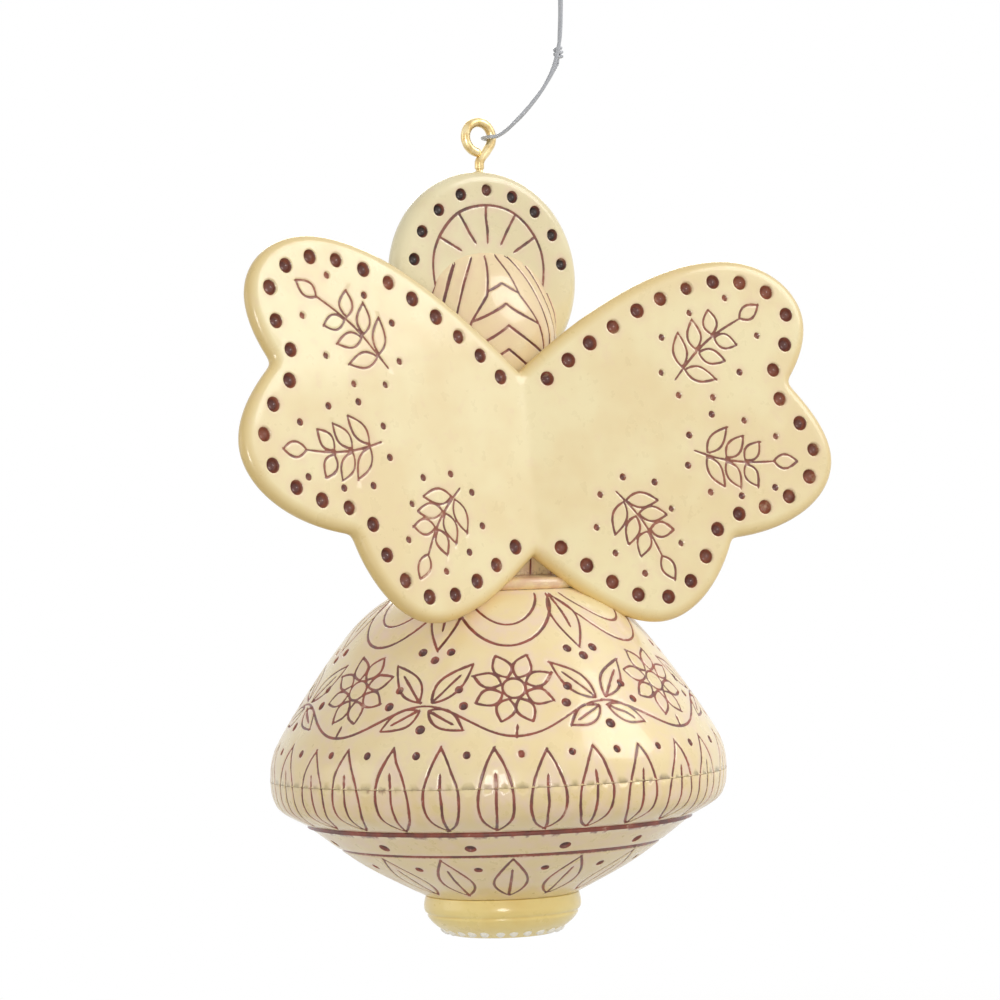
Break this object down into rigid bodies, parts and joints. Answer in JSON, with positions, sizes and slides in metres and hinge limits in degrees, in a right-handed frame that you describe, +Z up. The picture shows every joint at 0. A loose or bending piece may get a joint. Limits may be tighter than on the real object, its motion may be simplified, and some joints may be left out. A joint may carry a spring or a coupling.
{
  "type": "hanging angel ornament",
  "caption": "Hanging angel ornament of ivory cast resin with a wide bell skirt, lobed wings with a drilled border, a round halo, a gold wire eye and a loop of clear line.",
  "frame": {"origin": "centre of the wire eye that the ornament hangs from", "axes": "+Z up along the body's axis, face toward -Y, wings toward +Y"},
  "size_m": [0.0893, 0.06, 0.1446],
  "materials": {
    "resin": "satin",
    "gold": "polished",
    "nylon": "gloss"
  },
  "bodies": {
    "angel": {"foot": "resin", "skirt_bowl": "resin", "skirt_bell": "resin", "bodice": "resin", "wings": "resin", "left_sleeve": "resin", "right_sleeve": "resin", "hands": "resin", "head": "resin", "hair": "resin", "halo": "resin", "eye_pin": "gold"},
    "hanging_loop": {"hanging_line": "nylon", "line_knot": "nylon"}
  },
  "joints": [
    {"name": "loop_swing", "type": "hinge", "parent": "angel", "child": "hanging_loop", "pos_m": [0, 0, 0], "axis": [0, 1, 0], "range_deg": [-45, 95]}
  ]
}
